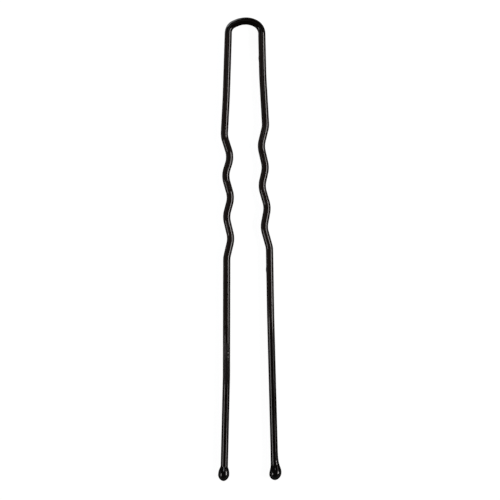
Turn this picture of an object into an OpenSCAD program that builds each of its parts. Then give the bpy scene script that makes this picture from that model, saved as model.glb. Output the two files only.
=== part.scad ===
// Crimped U-shaped hair pin with ball tips, lying flat.
// One spring wire is bent into a crown and two crimped legs, coated with black enamel,
// and each cut end is dipped in a bead of black resin.
// Millimetres. +Y points from the bead tips to the crown, +Z is up, and the pin lies on z = 0.

/* [Wire] */
// Diameter of the bare steel wire
wire_d = 0.9; // [0.7:0.02:1]
// Thickness of the baked enamel round the wire
enamel_t = 0.09; // [0.05:0.005:0.12]

/* [Pin] */
// Length from the top of the crown to the bottom of the longer leg's bead
pin_l = 75; // [70:1:84]
// How much shorter the right leg is than the left one
right_short = 0.15; // [0:0.05:1]

/* [Crown] */
// Width of the crown, between the corners where the wire turns down
crown_w = 5.36; // [5.2:0.02:7]
// Bend radius of the left corner, at the middle of the wire
left_corner_r = 1.5; // [1.2:0.1:1.8]
// Bend radius of the right corner, at the middle of the wire
right_corner_r = 1.9; // [1.2:0.1:1.9]
// Bend radius of the top of the arch, at the middle of the wire
arch_r = 3.2; // [2.4:0.1:3.3]
// Fall of the arch to the left of its top, in degrees
left_fall = 26.5; // [20:0.5:28]
// Fall of the arch to the right of its top, in degrees
right_fall = 24; // [18:0.5:25]
// How far the top of the arch stands to the right of the crown's middle
arch_shift = 0.08; // [0:0.01:0.14]

/* [Legs] */
// Width between the legs where the crimps begin
shoulder_w = 6.65; // [6.4:0.05:8]
// Width between the legs where the crimps end
foot_w = 6.9; // [6.6:0.05:8.5]
// Width between the legs at the bottom of the beads
tip_w = 8.25; // [7.5:0.05:10]

/* [Crimps] */
// Number of inward crimps on each leg
crimps = 3; // [2:1:3]
// Distance from the top of the crown to the left leg's first crimp bend
crimp_start = 18.9; // [18:0.1:22]
// Distance between one inward crimp and the next on the same leg
crimp_pitch = 6.7; // [6.2:0.1:7.4]
// How far each crimp bends inward, before its bend is rounded
crimp_depth = 0.86; // [0.4:0.02:1]
// Bend radius of the crimps, at the middle of the wire
crimp_r = 3.6; // [2.5:0.1:4.5]
// How much higher the right leg's crimps stand than the left leg's
crimp_stagger = 1.5; // [0:0.1:2]

/* [Beads] */
// Diameter of the left bead
left_bead_d = 1.69; // [1.55:0.01:2.2]
// Diameter of the right bead
right_bead_d = 1.83; // [1.55:0.01:2.2]
// Length of the left bead, from its bottom to its lip round the wire
left_bead_l = 2.4; // [2.2:0.05:3]
// Length of the right bead, from its bottom to its lip round the wire
right_bead_l = 2.9; // [2.5:0.05:3.4]
// Radius of the hollow curve between the left bead and the wire
left_neck_r = 1.2; // [0.8:0.1:1.8]
// Radius of the hollow curve between the right bead and the wire
right_neck_r = 2.2; // [1.4:0.1:2.8]
// Radius of the rounded bottom of both beads
bead_tip_r = 0.7; // [0.5:0.02:0.74]
// Height of the widest part of both beads above their bottom
bead_belly = 1; // [0.9:0.02:1.2]
// How far each bead hangs out of line with its leg, in degrees
bead_tilt = 2; // [0:0.5:4]
// Length of coated wire seated in each bead
seat_l = 1.3; // [0.8:0.05:1.4]
// Thickness of each bead's lip round the wire
lip_t = 0.03; // [0.02:0.01:0.08]

/* [Clearances] */
// Room between the wire and the enamel
film_gap = 0.02; // [0.02:0.005:0.03]
// Room between the coated wire and the bead's socket
seat_gap = 0.02; // [0.02:0.005:0.05]
// Parting of the enamel at the line where each leg flexes
flex_gap = 0.08; // [0.07:0.01:0.12]

/* [Hidden] */

LEFT = -1;
RIGHT = 1;
steel = [0.55, 0.54, 0.53];
enamel = [0.045, 0.04, 0.04];
resin = [0.06, 0.055, 0.055];

// A bend laps this far into its runs, and its surfaces lie this far inside theirs
lap = 0.03;
bend_step = 0.002;

// Radii of the wire's layers, and of the socket that each bead seats on it
wire_r = wire_d / 2;
coat_in_r = wire_r + film_gap;
coat_r = coat_in_r + enamel_t;
socket_r = coat_r + seat_gap;

// The wire's middle plane lies at the height of the larger bead's middle
plane_z = max(left_bead_d, right_bead_d) / 2;
top_y = pin_l / 2;

// Where the middle of the two legs stands, because the pin leans a little to the right
crown_x = -0.755;
shoulder_x = -0.77;
foot_x = -0.27;
tip_x = -0.045;

// Each leg flexes as if it turned about a line at this share of its length below the crown
flex_share = 0.15;
crown_drop = 2.6;
flex_y = top_y - crown_drop - flex_share * (pin_l - crown_drop);

// The long gentle bends that bow the straight runs inward.
// Upper: height above the flexing line and inward offset. Lower: share of the run and offset.
bow_r = 40;
left_upper_bow = [0.7, 0.08];
right_upper_bow = [4.1, 0.14];
left_lower_bow = [0.53, 0.19];
right_lower_bow = [0.3, 0.07];

// Small unevenness of the crimp bends from the top down: to the right, and upward
left_wander = [[-0.03, -0.34], [0.1, -0.31], [-0.05, 0.05], [0.04, -0.15], [0.01, 0.1],
               [-0.07, -0.11], [0, 0.16]];
right_wander = [[0.02, -0.18], [0, -0.01], [-0.17, -0.18], [-0.09, 0.15], [-0.08, 0.09],
                [0.07, 0.18], [0.02, 0.26]];

function blend(a, b, share) = a + (b - a) * share;
function reversed(list) = [for (i = [len(list) - 1 : -1 : 0]) list[i]];
function wander(side, k) =
    let (list = side == LEFT ? left_wander : right_wander) k < len(list) ? list[k] : [0, 0];

// A path is a list of [x, y, bend radius], and the bend replaces the corner at each inner point
function corner(x, y, r) = [x, y, r];
function along(a, b, share, r) = [blend(a.x, b.x, share), blend(a.y, b.y, share), r];
function shifted(p, dx) = [p.x + dx, p.y, p.z];
function heading(a, b) = atan2(b.y - a.y, b.x - a.x);
function wrapped(angle) = angle > 180 ? angle - 360 : angle < -180 ? angle + 360 : angle;
function turn(path, i) =
    wrapped(heading(path[i], path[i + 1]) - heading(path[i - 1], path[i]));
function setback(path, i) =
    i == 0 || i == len(path) - 1 ? 0 : path[i].z * tan(abs(turn(path, i)) / 2);
function feed(path, i) =
    norm([path[i + 1].x - path[i].x, path[i + 1].y - path[i].y])
    - setback(path, i) - setback(path, i + 1);
// The point that lies a distance from a towards b
function toward(a, b, distance) = along(a, b, distance / norm([b.x - a.x, b.y - a.y]), 0);

// The arch: two corners and the top between them, which its bend radius rounds down to top_y
arch_rise = arch_r * (cos((left_fall - right_fall) / 2) / cos((left_fall + right_fall) / 2) - 1);
arch_top = corner(crown_x + arch_shift, top_y - coat_r + arch_rise, arch_r);
function arch_corner(side) =
    let (x = crown_x + side * crown_w / 2,
         fall = side == LEFT ? left_fall : right_fall,
         r = side == LEFT ? left_corner_r : right_corner_r)
    corner(x, arch_top.y - abs(x - arch_top.x) * tan(fall), r);

// The crimps: every other bend comes inward from the leg's outer line
function crimp_bend(side, k) =
    let (share = k / (2 * crimps),
         outer = blend(shoulder_x, foot_x, share) + side * blend(shoulder_w, foot_w, share) / 2,
         inward = k % 2 == 1 ? crimp_depth : 0,
         drop = crimp_start - (side == RIGHT ? crimp_stagger : 0) + k * crimp_pitch / 2)
    corner(outer - side * inward + wander(side, k).x, top_y - drop + wander(side, k).y, crimp_r);
function crimp_bends(side) = [for (k = [0 : 2 * crimps]) crimp_bend(side, k)];
first_bend = 0;
last_bend = 2 * crimps;

// The bottom of each bead, before it tilts
function bottom(side) =
    corner(tip_x + side * tip_w / 2, -top_y + (side == RIGHT ? right_short : 0), 0);

function upper_bow(side) =
    let (bow = side == LEFT ? left_upper_bow : right_upper_bow,
         a = arch_corner(side), b = crimp_bend(side, first_bend), y = flex_y + bow[0])
    shifted(along(a, b, (a.y - y) / (a.y - b.y), bow_r), -side * bow[1]);
function lower_bow(side) =
    let (bow = side == LEFT ? left_lower_bow : right_lower_bow)
    shifted(along(crimp_bend(side, last_bend), bottom(side), bow[0], bow_r), -side * bow[1]);

// Where the wire ends in its bead's socket, and where the bead's lip closes round it
function bead_l(side) = side == LEFT ? left_bead_l : right_bead_l;
function wire_end(side) = toward(bottom(side), lower_bow(side), bead_l(side) - seat_l + seat_gap);
function lip(side) = toward(bottom(side), lower_bow(side), bead_l(side));
function leg_heading(side) = heading(bottom(side), lower_bow(side));

// Where the enamel parts: at the flexing line, above it for the crown and below it for the leg
function flex_point(side) =
    let (a = upper_bow(side), b = crimp_bend(side, first_bend))
    along(a, b, (a.y - flex_y) / (a.y - b.y), 0);
function crown_edge(side) = toward(flex_point(side), upper_bow(side), flex_gap / 2);
function leg_edge(side) =
    toward(flex_point(side), crimp_bend(side, first_bend), flex_gap / 2);

function lower_leg(side) = concat(crimp_bends(side), [lower_bow(side), wire_end(side)]);
arch = [arch_corner(LEFT), arch_top, arch_corner(RIGHT)];
crown = concat([upper_bow(LEFT)], arch, [upper_bow(RIGHT)]);
wire_path = concat(reversed(lower_leg(LEFT)), crown, lower_leg(RIGHT));
crown_path = concat([crown_edge(LEFT)], crown, [crown_edge(RIGHT)]);
function leg_path(side) = concat([leg_edge(side)], lower_leg(side));

// Round section of the wire, or of the enamel that lies round it
module section(outer_r, inner_r) {
    difference() {
        circle(outer_r, $fn = 48);
        if (inner_r > 0) circle(inner_r, $fn = 48);
    }
}

// A straight run from one bend to the next, at full section
module run(path, i, outer_r, inner_r) {
    a = toward(path[i], path[i + 1], setback(path, i));
    translate([a.x, a.y, plane_z])
        rotate([0, 90, heading(path[i], path[i + 1])])
            linear_extrude(feed(path, i)) section(outer_r, inner_r);
}

// A bend round its centre, lapped a little into the runs on both sides of it
module bend(path, i, outer_r, inner_r) {
    r = path[i].z;
    angle = turn(path, i);
    side = sign(angle);
    lap_angle = lap / r * 180 / PI;
    before = heading(path[i - 1], path[i]);
    a = toward(path[i], path[i - 1], setback(path, i));
    first = before - side * 90;
    centre = [a.x - side * r * sin(before), a.y + side * r * cos(before)];
    translate([centre.x, centre.y, plane_z])
        rotate([0, 0, min(first, first + angle) - lap_angle])
            rotate_extrude(angle = abs(angle) + 2 * lap_angle, $fn = 180)
                translate([r, 0]) section(outer_r - bend_step, inner_r > 0 ? inner_r + bend_step : 0);
}

// Every run and bend of a path, as one solid round tube or rod
module sweep(path, outer_r, inner_r = 0) {
    for (i = [0 : len(path) - 2]) run(path, i, outer_r, inner_r);
    for (i = [1 : len(path) - 2]) bend(path, i, outer_r, inner_r);
}

// Half of the drop's outline between two heights, cut from one round
module outline_band(centre, r, low, high) {
    intersection() {
        translate(centre) circle(r, $fn = 96);
        translate([0, low]) square([2 * r, high - low]);
    }
}

// A drop of resin, its bottom at the origin: four arcs, each tangent to the next
module drop(d, l, neck_r) {
    r = d / 2;
    lip_r = socket_r + lip_t;
    side_r = (r * r + pow(bead_belly - bead_tip_r, 2) - bead_tip_r * bead_tip_r)
        / (2 * (r - bead_tip_r));
    tip_top = bead_tip_r + bead_tip_r * (bead_tip_r - bead_belly) / (side_r - bead_tip_r);
    rise = l - bead_belly;
    reach = lip_r + neck_r - r;
    shoulder_r = (rise * rise + reach * reach - neck_r * neck_r) / (2 * (r - lip_r));
    neck_low = bead_belly + shoulder_r * rise / (shoulder_r + neck_r);
    rotate_extrude($fn = 96) {
        outline_band([0, bead_tip_r], bead_tip_r, 0, tip_top);
        outline_band([r - side_r, bead_belly], side_r, tip_top, bead_belly);
        outline_band([r - shoulder_r, bead_belly], shoulder_r, bead_belly, neck_low);
        difference() {
            translate([0, neck_low]) square([r, l - neck_low]);
            translate([lip_r + neck_r, l]) circle(neck_r, $fn = 96);
        }
    }
}

// A bead hung from its lip, with the blind socket that the coated wire seats in
module bead(side, d, neck_r) {
    l = bead_l(side);
    difference() {
        translate([lip(side).x, lip(side).y, plane_z])
            rotate([0, 90, leg_heading(side) + side * bead_tilt])
                translate([0, 0, -l]) drop(d, l, neck_r);
        translate([bottom(side).x, bottom(side).y, plane_z])
            rotate([0, 90, leg_heading(side)])
                translate([0, 0, l - seat_l]) cylinder(r = socket_r, h = 2 * seat_l, $fn = 48);
    }
}

module spring_wire() {
    color(steel) sweep(wire_path, wire_r);
}

module crown_enamel() {
    color(enamel) sweep(crown_path, coat_r, coat_in_r);
}

module left_leg_enamel() {
    color(enamel) sweep(leg_path(LEFT), coat_r, coat_in_r);
}

module right_leg_enamel() {
    color(enamel) sweep(leg_path(RIGHT), coat_r, coat_in_r);
}

module left_tip() {
    color(resin) bead(LEFT, left_bead_d, left_neck_r);
}

module right_tip() {
    color(resin) bead(RIGHT, right_bead_d, right_neck_r);
}

spring_wire();
crown_enamel();
left_leg_enamel();
right_leg_enamel();
left_tip();
right_tip();
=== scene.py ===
# %% [markdown]
# # A crimped wire hair pin
#
# The object is one length of black enamelled spring wire, bent into a U, with three inward
# crimps on each leg and a drop of resin on each end. It is 75 mm long and barely 1 mm thick, so
# nearly everything the eye sees is a reflection that runs along a thin round wire. The lesson
# therefore spends its care on three things: a wire that is truly round and smoothly bent, a
# finish with the small faults of a dipped coat, and lamps that leave narrow streaks on it.
#
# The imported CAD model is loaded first. It stays where it is and gives the places of everything.

import math

import bmesh
import bpy
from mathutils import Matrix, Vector


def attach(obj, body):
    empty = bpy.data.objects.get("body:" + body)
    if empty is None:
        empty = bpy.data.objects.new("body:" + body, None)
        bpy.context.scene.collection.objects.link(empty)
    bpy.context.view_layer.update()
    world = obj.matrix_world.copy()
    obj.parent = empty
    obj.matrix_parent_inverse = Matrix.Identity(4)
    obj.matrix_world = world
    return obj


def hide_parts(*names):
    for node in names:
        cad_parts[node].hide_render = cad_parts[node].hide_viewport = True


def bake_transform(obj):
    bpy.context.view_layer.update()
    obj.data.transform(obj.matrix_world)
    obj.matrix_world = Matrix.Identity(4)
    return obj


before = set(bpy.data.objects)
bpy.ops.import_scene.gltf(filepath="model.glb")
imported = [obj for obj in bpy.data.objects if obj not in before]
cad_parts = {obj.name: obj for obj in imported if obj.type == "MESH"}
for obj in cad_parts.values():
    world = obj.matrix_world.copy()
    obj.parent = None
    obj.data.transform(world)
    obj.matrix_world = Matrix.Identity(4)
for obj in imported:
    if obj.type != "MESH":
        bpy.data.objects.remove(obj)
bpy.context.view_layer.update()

# %% [markdown]
# ## Sizes
#
# Blender works in metres here, and a hair pin is easier to think of in millimetres. So sizes are
# written in millimetres, and `MM` turns them into metres at the moment they are used. They are
# the same named sizes that the CAD source is drawn from.

# %% Sizes of the pin
MM = 0.001
LEFT, RIGHT = -1, 1

PIN_LENGTH = 75.0
TOP_Y = PIN_LENGTH / 2
PLANE_Z = 0.915
WIRE_RADIUS = 0.45
COAT_RADIUS = 0.56
FILM_RADIUS = 0.59
CRIMP_RADIUS = 3.6
BOW_RADIUS = 40.0
FLEX_Y = 24.04


def metres(*values):
    """A point or size in millimetres as a Vector in metres."""
    return Vector(values) * MM


print("pin:", PIN_LENGTH, "mm long, of wire", 2 * WIRE_RADIUS, "mm thick under its coat")

# %% [markdown]
# ## The route of the wire
#
# A wire bender works from straight feeds and bends, and so does this route: a list of corners,
# each with the radius that the bend there is rounded to. The crimps follow a rule (every other
# bend steps inward from the leg's outer line), with a small error on each bend, because the real
# pin was pressed quickly and no two bends of it match. A curve traced by hand would look alike,
# but its radii would be accidents. Here every bend has the radius that a tool leaves.

# %% Sizes of the route
CROWN_MIDDLE, CROWN_WIDTH = -0.755, 5.36
CORNER_RADIUS = {LEFT: 1.5, RIGHT: 1.9}
ARCH_RADIUS, ARCH_SHIFT = 3.2, 0.08
ARCH_FALL = {LEFT: 26.5, RIGHT: 24.0}
CRIMPS, CRIMP_START, CRIMP_PITCH = 3, 18.9, 6.7
CRIMP_DEPTH, CRIMP_STAGGER = 0.86, 1.5
SHOULDER = {"middle": -0.77, "width": 6.65}
FOOT = {"middle": -0.27, "width": 6.9}
TIP = {"middle": -0.045, "width": 8.25}
RIGHT_SHORT = 0.15
UPPER_BOW = {LEFT: (0.7, 0.08), RIGHT: (4.1, 0.14)}
LOWER_BOW = {LEFT: (0.53, 0.19), RIGHT: (0.3, 0.07)}
BEND_ERRORS = {
    LEFT: [
        (-0.03, -0.34), (0.1, -0.31), (-0.05, 0.05), (0.04, -0.15), (0.01, 0.1), (-0.07, -0.11),
        (0, 0.16),
    ],
    RIGHT: [
        (0.02, -0.18), (0, -0.01), (-0.17, -0.18), (-0.09, 0.15), (-0.08, 0.09), (0.07, 0.18),
        (0.02, 0.26),
    ],
}


def between(a, b, share):
    """The value or the (x, y) place a share of the way from a to b."""
    if isinstance(a, tuple):
        return tuple(p + (q - p) * share for p, q in zip(a[:2], b[:2]))
    return a + (b - a) * share


print("crimps:", CRIMPS, "on each leg,", CRIMP_PITCH, "mm apart")

# %% [markdown]
# ## Corners of the crown
#
# The crown isn't flat on top: it falls away from a wide arch to both of its corners. The arch is
# one more rounded corner, where the two slopes would meet. That point lies a little above the
# wire, so its height is worked out from the arch's radius, and the arch's own top then reaches
# the full length of the pin.

# %% The crown's corners
def arch_corners():
    """The crown's two corners and the top between them, as (x, y, bend radius)."""
    top_x = CROWN_MIDDLE + ARCH_SHIFT
    half_lean = math.radians(ARCH_FALL[LEFT] - ARCH_FALL[RIGHT]) / 2
    half_bend = math.radians(ARCH_FALL[LEFT] + ARCH_FALL[RIGHT]) / 2
    rise = ARCH_RADIUS * (math.cos(half_lean) / math.cos(half_bend) - 1)
    top_y = TOP_Y - COAT_RADIUS + rise
    corners = [(top_x, top_y, ARCH_RADIUS)]
    for side in (LEFT, RIGHT):
        x = CROWN_MIDDLE + side * CROWN_WIDTH / 2
        y = top_y - abs(x - top_x) * math.tan(math.radians(ARCH_FALL[side]))
        corners.append((x, y, CORNER_RADIUS[side]))
    return {"left": corners[1], "top": corners[0], "right": corners[2]}


arch = arch_corners()
print("slopes of the crown meet at", [round(v, 3) for v in arch["top"][:2]], "mm")

# %% [markdown]
# ## Corners of a leg
#
# A leg runs from the crown's corner over a shallow bow to its crimps, and over another bow to its
# bead. The bends of the crimps lie evenly spaced between two widths of the pin, at the shoulder
# and at the foot of the crimps, so a change of either width carries all of them along.

# %% The legs' corners
def crimp_bends(side):
    """The seven bends of one leg's three crimps, from the top down."""
    bends = []
    for k, (right, up) in enumerate(BEND_ERRORS[side]):
        share = k / (2 * CRIMPS)
        middle = between(SHOULDER["middle"], FOOT["middle"], share)
        width = between(SHOULDER["width"], FOOT["width"], share)
        inward = CRIMP_DEPTH if k % 2 else 0.0
        drop = CRIMP_START - (CRIMP_STAGGER if side == RIGHT else 0) + k * CRIMP_PITCH / 2
        bends.append((middle + side * (width / 2 - inward) + right, TOP_Y - drop + up, CRIMP_RADIUS))
    return bends


def leg_corners(side):
    """One leg's corners, from the crown's corner down to the bottom of its bead."""
    start = arch["left" if side == LEFT else "right"]
    crimps = crimp_bends(side)
    bottom = (TIP["middle"] + side * TIP["width"] / 2, -TOP_Y + (RIGHT_SHORT if side == RIGHT else 0))
    rise, inset = UPPER_BOW[side]
    upper = between(start, crimps[0], (start[1] - FLEX_Y - rise) / (start[1] - crimps[0][1]))
    share, lower_inset = LOWER_BOW[side]
    lower = between(crimps[-1], bottom, share)
    return [
        start,
        (upper[0] - side * inset, upper[1], BOW_RADIUS),
        *crimps,
        (lower[0] - side * lower_inset, lower[1], BOW_RADIUS),
        (*bottom, 0.0),
    ]


for side, name in ((LEFT, "left"), (RIGHT, "right")):
    corners = leg_corners(side)
    print(name, "leg:", len(corners), "corners, bottom at", corners[-1][:2], "mm")

# %% [markdown]
# ## Where one piece ends and the next begins
#
# The pin flexes: each leg bends elastically below the crown. A mesh can follow one flexing joint
# only, so the coat is made as three meshes: the arch, which stays with the crown, and two legs.
# They meet in the straight wire just under the crown's corners, where a cut square to the wire
# leaves both sides with the same normals, so the join can't be seen. The wire's lower end stops
# inside the resin.

# %% Cut the route into crown and legs
SEAM_Y = 34.2
SEATED = {LEFT: 1.12, RIGHT: 1.62}


def seam(side):
    """The place where a leg's mesh meets the crown's."""
    start, upper = leg_corners(side)[:2]
    x, y = between(start, upper, (start[1] - SEAM_Y) / (start[1] - upper[1]))
    return (x, y, 0.0)


def leg_route(side):
    """Corners of a leg's mesh, from its seam down to the wire's end inside the bead."""
    corners = leg_corners(side)
    lower, bottom = corners[-2], corners[-1]
    run = math.dist(lower[:2], bottom[:2])
    end = between(bottom, lower, SEATED[side] / run)
    return [seam(side), *corners[1:-1], (*end, 0.0)]


crown_route = [seam(LEFT), arch["left"], arch["top"], arch["right"], seam(RIGHT)]
print("crown route:", [tuple(round(v, 3) for v in corner) for corner in crown_route])

# %% [markdown]
# ## Node maths written as Python
#
# Both the shape and the finishes are made of nodes. Wiring them by hand takes many lines that
# say little, so one small class holds an output socket and gives it the usual operators: writing
# `1 - mask * 0.5` adds the two Math nodes and their links.

# %% Links with arithmetic
class Link:
    """An output socket of a node tree, with arithmetic."""

    def __init__(self, graph, socket):
        self.graph, self.socket = graph, socket

    def math(self, operation, *values):
        return self.graph.node("ShaderNodeMath", {"operation": operation}, dict(enumerate(values)))

    def __add__(self, other):
        return self.math("ADD", self, other)

    def __radd__(self, other):
        return self.math("ADD", other, self)

    def __sub__(self, other):
        return self.math("SUBTRACT", self, other)

    def __rsub__(self, other):
        return self.math("SUBTRACT", other, self)

    def __mul__(self, other):
        return self.math("MULTIPLY", self, other)

    def __rmul__(self, other):
        return self.math("MULTIPLY", other, self)


# %% [markdown]
# ## Adding nodes
#
# Every other node comes from `node`, which takes the node's type, its settings, and the values or
# links for its inputs. It finds a socket by name among those in use, because some nodes hide
# several sockets under one name, one for each kind of data.

# %% Node trees
class Graph:
    """A node tree that nodes are added to by type, settings and inputs."""

    def __init__(self, tree):
        self.tree = tree

    def node(self, kind, settings=None, inputs=None, output=0):
        made = self.tree.nodes.new(kind)
        for key, value in (settings or {}).items():
            if key == "stops":
                self.set_stops(made.color_ramp, value)
            else:
                setattr(made, key, value)
        for key, value in (inputs or {}).items():
            socket = self.pick(made.inputs, key)
            if isinstance(value, Link):
                self.tree.links.new(value.socket, socket)
            else:
                socket.default_value = value
        if not made.outputs:
            return made
        return Link(self, self.pick(made.outputs, output))

    @staticmethod
    def pick(sockets, key):
        """A socket by its place in the list, or by name among those that are in use."""
        if isinstance(key, int):
            return sockets[key]
        return next(s for s in sockets if s.name == key and s.enabled)

    @staticmethod
    def set_stops(ramp, stops):
        """Give a colour ramp these (position, grey) stops."""
        while len(ramp.elements) < len(stops):
            ramp.elements.new(0.5)
        for element, (position, grey) in zip(ramp.elements, stops):
            element.position = position
            element.color = (grey, grey, grey, 1)

    def output_of(self, link, name):
        """Another output of the node that a link comes from."""
        return Link(self, self.pick(link.socket.node.outputs, name))


# %% [markdown]
# ## The sweep, as Geometry Nodes
#
# A round wire that follows a route is a rule, which is what Geometry Nodes are for. The route
# comes in as a chain of edges whose vertices carry a bend radius. Fillet Curve rounds each corner
# with it, as a bender's tool does. A curve with a bevel would give the round section too, but it
# couldn't round each corner by its own radius, add waves, or store places for the finishes.

# %% Parts of the sweep
BEND_ATTRIBUTE, PLACE_ATTRIBUTE, MIDDLE_ATTRIBUTE = "bend_radius", "rest_place", "rest_middle"
POINTS_IN_BEND = 64
SWEEP_INPUTS = (
    ("Route", "NodeSocketGeometry"),
    ("Radius", "NodeSocketFloat"),
    ("Step", "NodeSocketFloat"),
    ("Sides", "NodeSocketInt"),
    ("Wave Height", "NodeSocketFloat"),
    ("Wave Scale", "NodeSocketFloat"),
    ("Finish", "NodeSocketMaterial"),
)


def rounded_curve(graph, route, step):
    """The route as a curve with every corner rounded, cut into even steps."""
    curve = graph.node("GeometryNodeMeshToCurve", None, {"Mesh": route})
    bend = graph.node("GeometryNodeInputNamedAttribute", {"data_type": "FLOAT"}, {"Name": BEND_ATTRIBUTE})
    curve = graph.node(
        "GeometryNodeFilletCurve",
        {"mode": "POLY"},
        {"Curve": curve, "Count": POINTS_IN_BEND, "Radius": bend, "Limit Radius": False},
    )
    curve = graph.node("GeometryNodeResampleCurve", {"mode": "LENGTH"}, {"Curve": curve, "Length": step})
    return graph.node("GeometryNodeSetCurveNormal", {"mode": "Z_UP"}, {"Curve": curve})


def keep_place(graph, geometry, name, place):
    """The curve or mesh with each point's place stored on it under a name."""
    return graph.node(
        "GeometryNodeStoreNamedAttribute",
        {"data_type": "FLOAT_VECTOR", "domain": "POINT"},
        {"Geometry": geometry, "Name": name, "Value": place},
    )


def waved(graph, mesh, height, scale):
    """The mesh with small waves in its skin, because a dipped film is never quite even."""
    wave = graph.node(
        "ShaderNodeTexNoise", {"noise_dimensions": "3D"}, {"Scale": scale, "Detail": 1.0}
    )
    normal = graph.node("GeometryNodeInputNormal")
    offset = graph.node(
        "ShaderNodeVectorMath",
        {"operation": "SCALE"},
        {"Vector": normal, "Scale": (wave - 0.5) * height * 2},
    )
    return graph.node("GeometryNodeSetPosition", None, {"Geometry": mesh, "Offset": offset})


def smooth_sides(graph, mesh):
    """The mesh with its four-cornered side faces shaded smooth, and its two caps flat."""
    corners = graph.node("GeometryNodeInputMeshFaceNeighbors", None, None, "Vertex Count")
    side_face = graph.node(
        "FunctionNodeCompare", {"data_type": "INT", "operation": "EQUAL"}, {"A": corners, "B": 4}
    )
    return graph.node(
        "GeometryNodeSetShadeSmooth", {"domain": "FACE"}, {"Geometry": mesh, "Shade Smooth": side_face}
    )


# %% [markdown]
# ## Putting the sweep together
#
# The order matters. The middle line's place is stored on the curve, before the sweep, so every
# vertex of a ring gets the same one. The vertex's own place is stored after the sweep. A finish
# that reads the two knows which side of the wire it is on, also when the wire flexes.

# %% Build the sweep tree
def build_sweep_tree():
    """A node group that sweeps a round section along a chain of edges."""
    tree = bpy.data.node_groups.new("sweep_wire", "GeometryNodeTree")
    for name, kind in SWEEP_INPUTS:
        tree.interface.new_socket(name, in_out="INPUT", socket_type=kind)
    tree.interface.new_socket("Wire", in_out="OUTPUT", socket_type="NodeSocketGeometry")

    graph = Graph(tree)
    given = graph.node("NodeGroupInput")
    ask = {s.name: Link(graph, s) for s in given.socket.node.outputs if s.name}
    place = graph.node("GeometryNodeInputPosition")
    curve = rounded_curve(graph, ask["Route"], ask["Step"])
    curve = keep_place(graph, curve, MIDDLE_ATTRIBUTE, place)
    circle = graph.node(
        "GeometryNodeCurvePrimitiveCircle",
        {"mode": "RADIUS"},
        {"Resolution": ask["Sides"], "Radius": ask["Radius"]},
    )
    mesh = graph.node(
        "GeometryNodeCurveToMesh", None, {"Curve": curve, "Profile Curve": circle, "Fill Caps": True}
    )
    mesh = keep_place(graph, mesh, PLACE_ATTRIBUTE, place)
    mesh = waved(graph, mesh, ask["Wave Height"], ask["Wave Scale"])
    mesh = smooth_sides(graph, mesh)
    mesh = graph.node("GeometryNodeRealizeInstances", None, {"Geometry": mesh})
    mesh = graph.node("GeometryNodeSetMaterial", None, {"Geometry": mesh, "Material": ask["Finish"]})
    graph.node("NodeGroupOutput", None, {"Wire": mesh})
    return tree


sweep_tree = build_sweep_tree()
print("sweep tree:", len(sweep_tree.nodes), "nodes")

# %% [markdown]
# ## Running the tree
#
# The tree is a modifier on a bare chain of edges. Its inputs are set by each socket's
# identifier, which stays the same when a label changes. The evaluated result is then copied into
# a plain mesh and the chain is thrown away, so what is left is ordinary geometry whose place is
# in its vertices.

# %% From a route to a mesh
def add_object(name, mesh):
    made = bpy.data.objects.new(name, mesh)
    bpy.context.scene.collection.objects.link(made)
    return made


def sweep(name, route, finish, radius=FILM_RADIUS, wave=0.0, wave_length=1.6, sides=48, step=0.12):
    """A round wire mesh along a route of (x, y, bend radius) corners, in millimetres."""
    chain = bpy.data.meshes.new(name + "_route")
    chain.from_pydata(
        [metres(x, y, PLANE_Z) for x, y, _ in route],
        [(i, i + 1) for i in range(len(route) - 1)],
        [],
    )
    bend = chain.attributes.new(BEND_ATTRIBUTE, "FLOAT", "POINT")
    bend.data.foreach_set("value", [r * MM for _, _, r in route])
    carrier = add_object(name + "_route", chain)
    modifier = carrier.modifiers.new("sweep", "NODES")
    modifier.node_group = sweep_tree
    sizes = {
        "Radius": radius * MM,
        "Step": step * MM,
        "Sides": sides,
        "Wave Height": wave * MM,
        "Wave Scale": 1 / (wave_length * MM),
        "Finish": finish,
    }
    for item in sweep_tree.interface.items_tree:
        if item.name in sizes:
            modifier[item.identifier] = sizes[item.name]
    depsgraph = bpy.context.evaluated_depsgraph_get()
    mesh = bpy.data.meshes.new_from_object(carrier.evaluated_get(depsgraph), depsgraph=depsgraph)
    bpy.data.objects.remove(carrier)
    bpy.data.meshes.remove(chain)
    mesh.name = name
    made = add_object(name, mesh)
    print(name, len(mesh.vertices), "vertices,", len(mesh.polygons), "faces")
    return made


# %% [markdown]
# ## Finishes
#
# A finish here is a Principled shader with patterns plugged into it. What is the same all over a
# piece, such as the roughness of its clear coat, is a number on the shader itself. Only what
# changes over the surface is made of nodes, which keeps a finish quick to render and to read.

# %% Start a finish
def new_finish(name):
    """An empty material with a Principled shader, and its graph."""
    finish = bpy.data.materials.new(name)
    finish.use_nodes = True
    graph = Graph(finish.node_tree)
    shader = finish.node_tree.nodes["Principled BSDF"]
    return finish, graph, shader


def connect(graph, shader, **sockets):
    """Link or set the shader's inputs, written with _ for the space in their names."""
    for key, value in sockets.items():
        socket = shader.inputs[key.replace("_", " ")]
        if isinstance(value, Link):
            graph.tree.links.new(value.socket, socket)
        else:
            socket.default_value = value


# %% [markdown]
# ## Patterns
#
# Noise makes clouds and fine grain, Voronoi cells make specks, and Map Range makes a soft edge
# where a value passes a limit. A painted image could hold the same marks, but these need no file,
# and their sizes are in millimetres of the object, so a pattern keeps its size on every piece.

# %% Patterns that the finishes share
def grain(graph, place, size, detail=2.0):
    """Soft noise from 0 to 1 whose lumps are about a size across, in millimetres."""
    return graph.node(
        "ShaderNodeTexNoise",
        {"noise_dimensions": "3D"},
        {"Vector": place, "Scale": 1 / (size * MM), "Detail": detail},
    )


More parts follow.
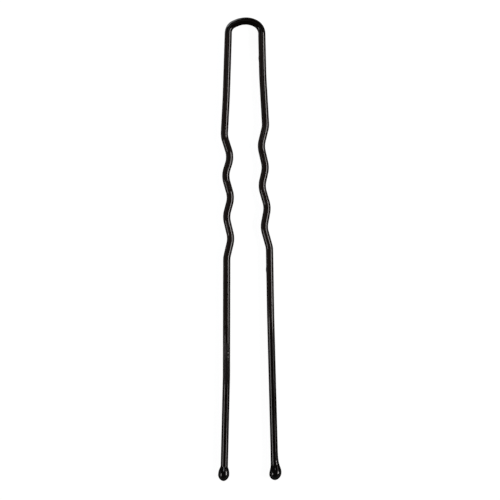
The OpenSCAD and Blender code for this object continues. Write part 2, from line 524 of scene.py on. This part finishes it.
def ramp(graph, value, low, high, first=0.0, last=1.0):
    """A smooth step from first to last while a value goes from low to high."""
    return graph.node(
        "ShaderNodeMapRange",
        {"interpolation_type": "SMOOTHSTEP"},
        {"Value": value, "From Min": low, "From Max": high, "To Min": first, "To Max": last},
    )


def speckle(graph, place, size, threshold, softness=0.04):
    """1 on small round specks scattered a size apart in millimetres, 0 between them."""
    cells = graph.node(
        "ShaderNodeTexVoronoi",
        {"feature": "F1"},
        {"Vector": place, "Scale": 1 / (size * MM), "Randomness": 1.0},
        "Distance",
    )
    return ramp(graph, cells, threshold + softness, threshold)


def blend_colours(graph, share, first, second):
    """A colour a share of the way from the first colour, or a linked one, to the second."""
    first = first if isinstance(first, Link) else (*first, 1)
    return graph.node(
        "ShaderNodeMix",
        {"data_type": "RGBA"},
        {"Factor": share, "A": first, "B": (*second, 1)},
        "Result",
    )


def bump(graph, strength, depth, height):
    """A normal for a height pattern whose 1 stands a depth in millimetres above its 0."""
    sizes = {"Strength": strength, "Distance": depth * MM, "Height": height}
    return graph.node("ShaderNodeBump", None, sizes)


# %% [markdown]
# ## Masks
#
# A mask is 1 where a mark lies and 0 elsewhere, with a soft edge between. It is made from a place
# on the pin: past a line, between two lines, or near a point. Masks are multiplied where both
# have to hold, and taken from 1 where the opposite is meant.

# %% Past a line, between two, near a point
def past(graph, length, low, high):
    """0 until a length reaches low and 1 once it is past high, both in millimetres."""
    return ramp(graph, length, low * MM, high * MM)


def stretch(graph, height, low, high, soft):
    """1 where the height lies from low to high in millimetres, fading out over a soft edge."""
    into = past(graph, height, low - soft, low + soft)
    out_of = past(graph, height, high - soft, high + soft)
    return into * (1 - out_of)


def spots(graph, place, points, core, reach):
    """1 within a core distance of any of the points, 0 beyond the reach, all in millimetres."""
    total = 0.0
    for point in points:
        gap = graph.node(
            "ShaderNodeVectorMath", {"operation": "DISTANCE"}, {0: place, 1: metres(*point)}, "Value"
        )
        total = 1 - past(graph, gap, core, reach) + total
    return total


# %% [markdown]
# ## Gloss that fades at the edges
#
# A perfect gloss would mirror the white paper along both edges of the wire. A dipped coat doesn't,
# because its skin is slightly wrinkled and dusty where it is seen at a shallow angle. Layer Weight
# tells how far a point is turned away from the viewer, and the gloss fades between two limits. A
# rougher coat would dim the edges too, but it would also blur the lamps' narrow streaks.

# %% Fading gloss, and which side of the wire a point is on
TURNED_LITTLE, TURNED_FAR = 0.17, 0.38


def gloss_facing(graph):
    """1 where the coat faces the viewer, falling to 0 where it is seen at a shallow angle."""
    facing = graph.node("ShaderNodeLayerWeight", None, {"Blend": 0.5}, "Facing")
    return ramp(graph, facing, TURNED_LITTLE, TURNED_FAR, 1.0, 0.0)


def part_of(graph, vector, axis):
    """One of the three numbers of a vector."""
    return graph.node("ShaderNodeSeparateXYZ", None, {"Vector": vector}, axis)


def stored(graph, name):
    """A place that is stored on the mesh."""
    return graph.node("ShaderNodeAttribute", {"attribute_name": name}, None, "Vector")


def from_middle(graph, place, middle):
    """The way from the wire's middle line out to a point of its surface."""
    return graph.node("ShaderNodeVectorMath", {"operation": "SUBTRACT"}, {0: place, 1: middle})


# %% [markdown]
# ## Places on the enamel
#
# The coat is a stoved black enamel, nearly black with a breath of brown. It isn't the same
# everywhere: the left leg has a scuffed stretch below its crimps and lost its shine further down,
# the legs are duller on one side, and the crown's outer rim kept its full shine. The sweep
# stored two places for each point, where it was at rest and where the wire's middle line was, so
# a mask can pick one side of one leg between two heights, and it stays there when the leg flexes.
# Weight painting would do as well by hand, but heights and sides can be read and changed here.

# %% Places on the enamel
# In millimetres: stretches are (low, high, soft edge), and edges are (starts at, full at).
SCUFFED, DULLED = (-17.6, -15.2, 0.3), (-22.0, -17.6, 0.7)
FADING, RISING = (-15.2, -6.0, 2.5), (-29.5, -21.0, 2.5)
RUBBED = (-27.5, -22.5, 2.0)
BLISTERS = ((-3.45, -16.7, 1.43), (-3.45, -17.35, 1.43))
CROWN_EDGE, TOP_EDGE = (34.0, 35.6), (35.6, 36.4)
ABOVE_EDGE, BELOW_EDGE = (17.0, 22.0), (-15.0, -11.0)
BETWEEN_LEGS, CREST_EDGE, RIGHT_EDGE = (-0.9, -0.7), (0.14, 0.26), (-0.05, 0.15)

# The clear rim is where the skin faces this way by more than these shares.
RIM_SIDE, RIM_TURN = (-0.8, 0.6, 0.0), (0.35, 0.85)

enamel, graph, shader = new_finish("black_enamel")
place = stored(graph, PLACE_ATTRIBUTE)
middle = stored(graph, MIDDLE_ATTRIBUTE)
outward = from_middle(graph, place, middle)
across = part_of(graph, outward, "X")
off_crest = across.math("ABSOLUTE", across)
height = part_of(graph, middle, "Y")
rim_side = tuple(share / (FILM_RADIUS * MM) for share in RIM_SIDE)
aslant = graph.node(
    "ShaderNodeVectorMath", {"operation": "DOT_PRODUCT"}, {0: outward, 1: rim_side}, "Value"
)

on_right = past(graph, part_of(graph, middle, "X"), *BETWEEN_LEGS)
on_left = 1 - on_right
right_side = past(graph, across, *RIGHT_EDGE)
on_crown = past(graph, height, *CROWN_EDGE)
crown_top = past(graph, height, *TOP_EDGE)
clear_rim = on_crown * ramp(graph, aslant, *RIM_TURN)
legs_above = past(graph, height, *ABOVE_EDGE)
legs_below = 1 - past(graph, height, *BELOW_EDGE)
crest = legs_above * (1 - past(graph, off_crest, *CREST_EDGE))
scuff = stretch(graph, height, *SCUFFED) * on_left
dull = stretch(graph, height, *DULLED) * on_left
fading = stretch(graph, height, *FADING) * on_left
rising = stretch(graph, height, *RISING) * on_left
rubbed = stretch(graph, height, *RUBBED) * on_right
print("places on the enamel:", len(enamel.node_tree.nodes), "nodes")

# %% [markdown]
# ## Gloss, colour and skin of the enamel
#
# A plain black Principled shader with a low roughness would do for a new pin. Here the gloss is a
# clear coat over a matt base, so that it can wear off without a change of the colour. Its weight
# starts at one value with soft clouds and specks of dust in it, and each place then takes its
# share away. The bump is a fine orange peel, which breaks the lamps' streaks up a little.

# %% Enamel
BLACK, BROWN = (0.0022, 0.0016, 0.0014), (0.0092, 0.0064, 0.0054)
WORN = (0.0320, 0.0280, 0.0290)

cloud = grain(graph, place, 2.5)
peel = grain(graph, place, 0.6, 1.0)
mottle = grain(graph, place, 0.5, 2.0)
dust = speckle(graph, place, 0.9, 0.05)

gloss = 0.7 - cloud * 0.1 - dust * 0.1
for mark, lost in (
    (dull, 0.85),
    (scuff, 0.6 + ramp(graph, mottle, 0.4, 0.6) * 0.3),
    (fading, 0.3),
    (rising * right_side, 0.6),
    (legs_below * on_right * right_side, 0.65),
    (rubbed * right_side, 0.7),
    (legs_below * right_side, 0.4),
    (crest, 0.85),
    (crown_top, 0.65),
):
    gloss = gloss * (1 - mark * lost)
blisters = spots(graph, place, BLISTERS, 0.08, 0.2)
gloss = gloss.math("MAXIMUM", gloss, blisters * 0.6) * gloss_facing(graph)
gloss = gloss.math("MAXIMUM", gloss, clear_rim)

# On the crown the brown share is cut to a tenth. This is painted shade: it makes the crown's base colour
# darker and cooler than the legs' to stand in for the darker, cooler look that the light gives the crown.
# The clouds in the brown share are the enamel's own tone, and the share is also lower on the lower legs.
brown = (0.6 + cloud * 0.8) * (1 - legs_below * 0.8) * (1 - on_crown * 0.9)
colour = blend_colours(graph, brown, BLACK, BROWN)
worn = (scuff * (0.2 + mottle) + dull * 0.3) * (1 - right_side * 0.75)
connect(
    graph,
    shader,
    Base_Color=blend_colours(graph, worn, colour, WORN),
    Roughness=0.6,
    Normal=bump(graph, 0.4, 0.002, peel + dust * 1.5 + scuff * mottle * 4),
    Specular_IOR_Level=0.0,
    Coat_Weight=gloss,
    Coat_Roughness=0.06,
    Coat_IOR=1.5,
)
print("enamel:", len(enamel.node_tree.nodes), "nodes")

# %% [markdown]
# ## Bare steel
#
# Drawn wire carries fine lines along its length, from the die that it was pulled through. Noise
# that is stretched along the pin gives them to the colour, the roughness and the bump. An
# anisotropic gloss would only smear the highlights, and the lines themselves would be missing.

# %% Steel
DARK_STEEL, PALE_STEEL = (0.42, 0.41, 0.40), (0.60, 0.59, 0.57)
STRETCHED = (1.0, 0.04, 1.0)

steel, graph, shader = new_finish("drawn_steel")
place = stored(graph, PLACE_ATTRIBUTE)
stretched = graph.node("ShaderNodeVectorMath", {"operation": "MULTIPLY"}, {0: place, 1: STRETCHED})
lines = grain(graph, stretched, 0.05, 3.0)
connect(
    graph,
    shader,
    Base_Color=blend_colours(graph, lines, DARK_STEEL, PALE_STEEL),
    Metallic=1.0,
    Roughness=0.25 + lines * 0.2,
    Normal=bump(graph, 0.4, 0.002, lines),
)
print("steel:", len(steel.node_tree.nodes), "nodes")

# %% [markdown]
# ## Resin
#
# The drops are blacker and wetter than the coat. Where the resin thins out up the wire it shrank
# while it set, which left the neck's flanks dull, and two bubbles lie under its skin there. The
# drops don't bend, so their patterns read Object coordinates.

# %% Resin
NECK_EDGE = (-36.0, -35.75)
LEFT_FLANK, RIGHT_FLANK = (-0.4, -0.22), (0.0, 0.15)
BUBBLES = ((4.33, -34.26, 1.5), (4.39, -34.63, 1.5))
THICK_RESIN, THIN_RESIN = (0.0010, 0.0009, 0.0009), (0.0040, 0.0030, 0.0027)

resin, graph, shader = new_finish("black_resin")
place = graph.node("ShaderNodeTexCoord", None, None, "Object")
across = part_of(graph, from_middle(graph, place, stored(graph, MIDDLE_ATTRIBUTE)), "X")
neck = past(graph, part_of(graph, place, "Y"), *NECK_EDGE)
left_flank = neck * (1 - past(graph, across, *LEFT_FLANK))
right_flank = neck * past(graph, across, *RIGHT_FLANK)
bubbles = spots(graph, place, BUBBLES, 0.08, 0.18)
cloud = grain(graph, place, 0.8)
peel = grain(graph, place, 0.35, 1.0)
gloss = (0.95 - cloud * 0.1) * (1 - left_flank * 0.85) * (1 - right_flank * 0.92) + bubbles * 0.6
connect(
    graph,
    shader,
    Base_Color=blend_colours(graph, cloud, THICK_RESIN, THIN_RESIN),
    Roughness=0.6,
    Normal=bump(graph, 0.3, 0.004, peel + bubbles * 6.0),
    Specular_IOR_Level=0.0,
    Coat_Weight=gloss * gloss_facing(graph),
    Coat_Roughness=0.05,
    Coat_IOR=1.5,
)
print("resin:", len(resin.node_tree.nodes), "nodes")

# %% [markdown]
# ## Where the coat ran
#
# A dipped coat runs before it sets. It ran to the outside of the crown's left corner, left two
# small lumps on the right leg, and blistered twice on the left one. Each is a move of single
# vertices that fades out with the distance from a place, so the coat stays one smooth skin.
# Sculpting is the usual way to do this, but a few numbers give the same marks on every run.

# %% Moves of single vertices
def near(piece, place, spread):
    """The vertices round a place, each with a share that falls from 1 to 0 over the spread."""
    for vertex in piece.data.vertices:
        gap = (vertex.co - place).length / (spread * MM)
        if gap < 3:
            yield vertex, math.exp(-gap * gap)


def add_lump(piece, x, y, height, spread, lift=0.0):
    """Raise a smooth lump of enamel on a coat, near a place in or above the plane of the pin."""
    place = metres(x, y, PLANE_Z + lift)
    for vertex, share in near(piece, place, spread):
        vertex.co += vertex.normal * height * MM * share


def push_film(piece, x, y, right, up, spread):
    """Push a coat's film a little to one side of its wire, near a place in the plane of the pin."""
    for vertex, share in near(piece, metres(x, y, PLANE_Z), spread):
        vertex.co += metres(right, up, 0) * share


# %% [markdown]
# ## The coat and the wire inside it
#
# The same tree makes the coat and the bare wire that it covers: only the radius and the finish
# differ. The wire can't be seen, but it is part of the object.

# %% Sweep the pieces
WAVE = 0.005
LUMPS = ((1.55, 30.9, 0.05, 0.35), (2.75, -3.3, 0.06, 0.4))
BLISTER_HEIGHT, BLISTER_SPREAD = 0.015, 0.17

routes = {"crown": crown_route, "left_leg": leg_route(LEFT), "right_leg": leg_route(RIGHT)}
coats = {
    body: sweep(body + "_coat", route, enamel, FILM_RADIUS, wave=WAVE)
    for body, route in routes.items()
}
push_film(coats["crown"], -2.6, 36.4, right=-0.06, up=0.11, spread=1.2)
for x, y, z in BLISTERS:
    add_lump(coats["left_leg"], x, y, BLISTER_HEIGHT, BLISTER_SPREAD, z - PLANE_Z)
for x, y, lump_height, spread in LUMPS:
    add_lump(coats["right_leg"], x, y, lump_height, spread)
cores = {
    body: sweep(body + "_wire", route, steel, WIRE_RADIUS, sides=24, step=0.25)
    for body, route in routes.items()
}

# %% [markdown]
# ## The profile of a resin drop
#
# Each end was dipped in resin, which drew itself into a drop and climbed a little way up the
# wire. A sphere pulled long would be quick, but its neck wouldn't run out along the wire. So the
# radius is worked out at each height: a rounded bowl below the widest place, the belly, and above
# it a curve that falls slowly, then fast, then slowly again, until it meets the film.

# %% Radius of a drop
def drop_radius(height, drop):
    """Radius of a drop at a height above its bottom, in millimetres."""
    if height < drop["belly"]:
        fall = 1 - height / drop["belly"]
        return drop["radius"] * (1 - fall ** drop["round"]) ** (1 / drop["round"])
    rise = (height - drop["belly"]) / drop["neck"]
    flare = 1 / (1 + rise ** drop["fullness"])
    last = 1 / (1 + ((drop["length"] - drop["belly"]) / drop["neck"]) ** drop["fullness"])
    share = (flare - last) / (1 - last)
    return drop["lip"] + (drop["radius"] - drop["lip"]) * share


# %% [markdown]
# ## Rings round a drop
#
# The profile is spun as rings of vertices that faces then join. Resin hangs unevenly while it
# sets, which a plain spin can't show, so each ring has its own middle, and the fuller a ring is,
# the flatter it is from front to back. Each vertex keeps the middle of its ring for the finish.

# %% Rings and the faces between them
DROP_RINGS, DROP_SIDES = 72, 64
SAG = 0.07


def drop_ring(mesh, layer, middle, across, radius, drop):
    """One ring of vertices round a drop."""
    swell = max(0.0, (radius - drop["lip"]) / (drop["radius"] - drop["lip"]))
    depth = radius * (1 - SAG * swell)
    ring = []
    for k in range(DROP_SIDES):
        angle = 2 * math.pi * k / DROP_SIDES
        x, y = middle + across * radius * math.cos(angle)
        vertex = mesh.verts.new(metres(x, y, PLANE_Z + depth * math.sin(angle)))
        vertex[layer] = metres(middle.x, middle.y, PLANE_Z)
        ring.append(vertex)
    return ring


def join_rings(mesh, lower, upper):
    """The faces between two rings, or between the drop's lowest point and its first ring."""
    for k in range(DROP_SIDES):
        after = (k + 1) % DROP_SIDES
        if len(lower) == 1:
            mesh.faces.new((lower[0], upper[k], upper[after]))
        else:
            mesh.faces.new((lower[k], upper[k], upper[after], lower[after]))


# %% [markdown]
# ## Spinning a drop
#
# The rings stand closer together at both ends of the drop, where the profile turns fastest, which
# is what the cosine does. A cap closes the top inside the coat. The normals are then worked out
# anew, because on a mesh that is made face by face some of them may point inwards.

# %% Spin a drop
def spin_drop(name, side, drop):
    """A closed drop of resin round the end of one leg."""
    lower, bottom = leg_corners(side)[-2:]
    up = (Vector(lower[:2]) - Vector(bottom[:2])).normalized()
    across = Vector((up.y, -up.x))
    mesh = bmesh.new()
    layer = mesh.verts.layers.float_vector.new(MIDDLE_ATTRIBUTE)
    ring = [mesh.verts.new(metres(bottom[0], bottom[1], PLANE_Z))]
    ring[0][layer] = ring[0].co
    for k in range(1, DROP_RINGS + 1):
        height = 0.5 * (1 - math.cos(math.pi * k / DROP_RINGS)) * drop["length"]
        lean = drop["lean"] * math.exp(-(((height - drop["lean_height"]) / drop["lean_reach"]) ** 2))
        middle = Vector(bottom[:2]) + up * height + across * lean
        next_ring = drop_ring(mesh, layer, middle, across, drop_radius(height, drop), drop)
        join_rings(mesh, ring, next_ring)
        ring = next_ring
    mesh.faces.new(ring)
    bmesh.ops.recalc_face_normals(mesh, faces=mesh.faces)
    data = bpy.data.meshes.new(name)
    mesh.to_mesh(data)
    mesh.free()
    for face in data.polygons:
        face.use_smooth = len(face.vertices) < 5
    data.materials.append(resin)
    print(name, "widest", 2 * drop["radius"], "mm,", len(data.polygons), "faces")
    return add_object(name, data)


# %% [markdown]
# ## The two drops
#
# The left drop is short and hangs a little to the outside at its bottom. The right one is larger,
# leans to the outside at its neck, and its resin climbed more than twice as far up the leg.

# %% Both drops
LIP_INSIDE_FILM = 0.006
LIP = FILM_RADIUS - LIP_INSIDE_FILM

left_drop = {
    "radius": 0.9, "belly": 0.99, "round": 1.81, "length": 2.4, "neck": 1.43, "fullness": 2.9,
    "lip": LIP, "lean": -0.09, "lean_height": 0.0, "lean_reach": 2.0,
}
right_drop = {
    "radius": 0.98, "belly": 1.05, "round": 1.85, "length": 5.4, "neck": 1.13, "fullness": 2.6,
    "lip": LIP, "lean": 0.142, "lean_height": 1.75, "lean_reach": 1.07,
}
tips = {
    "left_leg": spin_drop("left_drop", LEFT, left_drop),
    "right_leg": spin_drop("right_drop", RIGHT, right_drop),
}

# %% [markdown]
# ## Riding on the CAD bodies
#
# The crown's coat and wire ride on the crown's body, and each drop rides on its leg's body. The
# legs' coats and wires keep their places in their own vertices. The CAD nodes that these meshes
# stand in for are hidden.

# %% Attach the pieces
for pieces, slot_name in ((coats, "enamel"), (cores, "steel")):
    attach(pieces["crown"], "crown")
    for body in ("left_leg", "right_leg"):
        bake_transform(pieces[body])
for body, piece in coats.items():
    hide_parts(body + "_enamel")
for piece in cores.values():
    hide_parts("spring_wire")
for body, piece in tips.items():
    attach(piece, body)
    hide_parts(body.replace("leg", "tip"))
print("attached:", len(coats), "coats,", len(cores), "lengths of wire and", len(tips), "drops")

# %% [markdown]
# ## Floor
#
# The pin lies on plain white paper. To the camera, and in reflections, the floor adds a white of
# its own to a small share of real shading, so it reads as white and still holds the pin's faint
# shadow. To all other rays it is an ordinary pale surface. Light Path tells the rays apart.
# More light would whiten the paper too, but it would wash out the black of the wire.

# %% Floor
FLOOR_HALF = 4.0
BELOW_PIN = 0.02
PAPER, SHADED_SHARE, GLOW = 0.8, 0.14, 0.93

floor_mesh = bpy.data.meshes.new("floor")
floor_mesh.from_pydata(
    [(-FLOOR_HALF, -FLOOR_HALF, 0), (FLOOR_HALF, -FLOOR_HALF, 0), (FLOOR_HALF, FLOOR_HALF, 0),
     (-FLOOR_HALF, FLOOR_HALF, 0)],
    [],
    [(0, 1, 2, 3)],
)
floor = add_object("floor", floor_mesh)
floor.location.z = -BELOW_PIN * MM
paper = bpy.data.materials.new("white_paper")
paper.use_nodes = True
graph = Graph(paper.node_tree)
paper.node_tree.nodes.clear()
rays = graph.node("ShaderNodeLightPath", None, None, "Is Camera Ray")
seen = rays.math(
    "MAXIMUM",
    rays,
    rays.math(
        "MAXIMUM",
        graph.output_of(rays, "Is Glossy Ray"),
        graph.output_of(rays, "Is Transmission Ray"),
    ),
)
plain = graph.node("ShaderNodeBsdfDiffuse", None, {"Color": (PAPER,) * 3 + (1,)})
shaded = graph.node("ShaderNodeBsdfDiffuse", None, {"Color": (SHADED_SHARE,) * 3 + (1,)})
glow = graph.node("ShaderNodeEmission", None, {"Color": (1, 1, 1, 1), "Strength": GLOW})
white = graph.node("ShaderNodeAddShader", None, {0: shaded, 1: glow})
surface = graph.node("ShaderNodeMixShader", None, {0: seen, 1: plain, 2: white})
graph.node("ShaderNodeOutputMaterial", None, {"Surface": surface})
floor_mesh.materials.append(paper)
print("floor:", 2 * FLOOR_HALF, "m wide,", BELOW_PIN, "mm below the pin")

# %% [markdown]
# ## World
#
# The room is white round the horizon and dark overhead. A glossy black wire shows what stands
# over it, so the dark ceiling is what keeps it black between the streaks.

# %% World
world = bpy.data.worlds.new("studio")
bpy.context.scene.world = world
world.use_nodes = True
graph = Graph(world.node_tree)
direction = graph.node("ShaderNodeTexCoord", None, None, "Generated")
level = part_of(graph, direction, "Z")
SKY_STOPS = [(0.0, 1.0), (0.1, 1.0), (0.3, 0.15), (0.8, 0.03)]
sky = graph.node("ShaderNodeValToRGB", {"stops": SKY_STOPS}, {"Fac": level}, "Color")
background = world.node_tree.nodes["Background"]
world.node_tree.links.new(sky.socket, background.inputs["Color"])
background.inputs["Strength"].default_value = 1.0
print("sky stops:", SKY_STOPS)

# %% [markdown]
# ## Lamps
#
# A straight round wire mirrors a lamp as a streak along its length. A lamp that stands over the
# pin at some angle to the side leaves its streak where the skin is turned half that angle. A long
# softbox on the right gives the streak that every leg has, and a short one low on the left gives
# the second streak of the lower legs. Two cool panels beyond the crown light its outer rim and
# the necks of the drops. They are turned by `to_track_quat`, because they stand off to the side
# and up at once.

# %% Lamps
WARM, COOL = (1.0, 0.955, 0.94), (0.92, 0.97, 1.0)


def softbox(name, centre, width, length, brightness, colour):
    """A rectangular lamp in metres that faces the pin's middle, with its length along Y."""
    lamp = bpy.data.lights.new(name, "AREA")
    lamp.shape = "RECTANGLE"
    lamp.size, lamp.size_y = width, length
    lamp.energy = brightness * math.pi * width * length
    lamp.color = colour
    holder = bpy.data.objects.new(name, lamp)
    bpy.context.scene.collection.objects.link(holder)
    holder.location = centre
    holder.rotation_euler = (0, math.atan2(centre[0], centre[2]), 0)
    holder.visible_camera = False
    return holder


softbox("right_softbox", (0.355, 0.0, 0.277), width=0.085, length=0.25, brightness=20.0, colour=WARM)
softbox("left_softbox", (-0.312, -0.088, 0.25), width=0.07, length=0.104, brightness=10.5, colour=WARM)
for name, centre, width, length, brightness in (
    ("crown_panel", (-0.23, 0.43, 0.10), 0.42, 0.16, 13.0),
    ("neck_panel", (-0.035, 0.115, 0.33), 0.07, 0.12, 5.5),
):
    panel = softbox(name, centre, width, length, brightness, COOL)
    panel.rotation_euler = Vector(centre).to_track_quat("Z", "Y").to_euler()
print("lamps:", len(bpy.data.lights))

# %% [markdown]
# ## Camera
#
# The view is straight down, from a long lens, so that the wire's sides and both drops are seen
# alike. The distance follows from how many millimetres the picture is wide.

# %% Camera
PICTURE_WIDTH = 80.92
CENTRE_X, CENTRE_Y = 0.044, -0.113
LENS, SENSOR = 100.0, 36.0

camera_data = bpy.data.cameras.new("camera")
camera_data.lens = LENS
camera_data.sensor_width = SENSOR
camera_data.clip_start, camera_data.clip_end = 0.01, 20.0
camera = bpy.data.objects.new("camera", camera_data)
bpy.context.scene.collection.objects.link(camera)
distance = PICTURE_WIDTH * LENS / SENSOR
camera.location = metres(CENTRE_X, CENTRE_Y, PLANE_Z + distance)
bpy.context.scene.camera = camera
bpy.context.scene.view_settings.view_transform = "Standard"
print("camera", round(distance, 1), "mm above the pin")
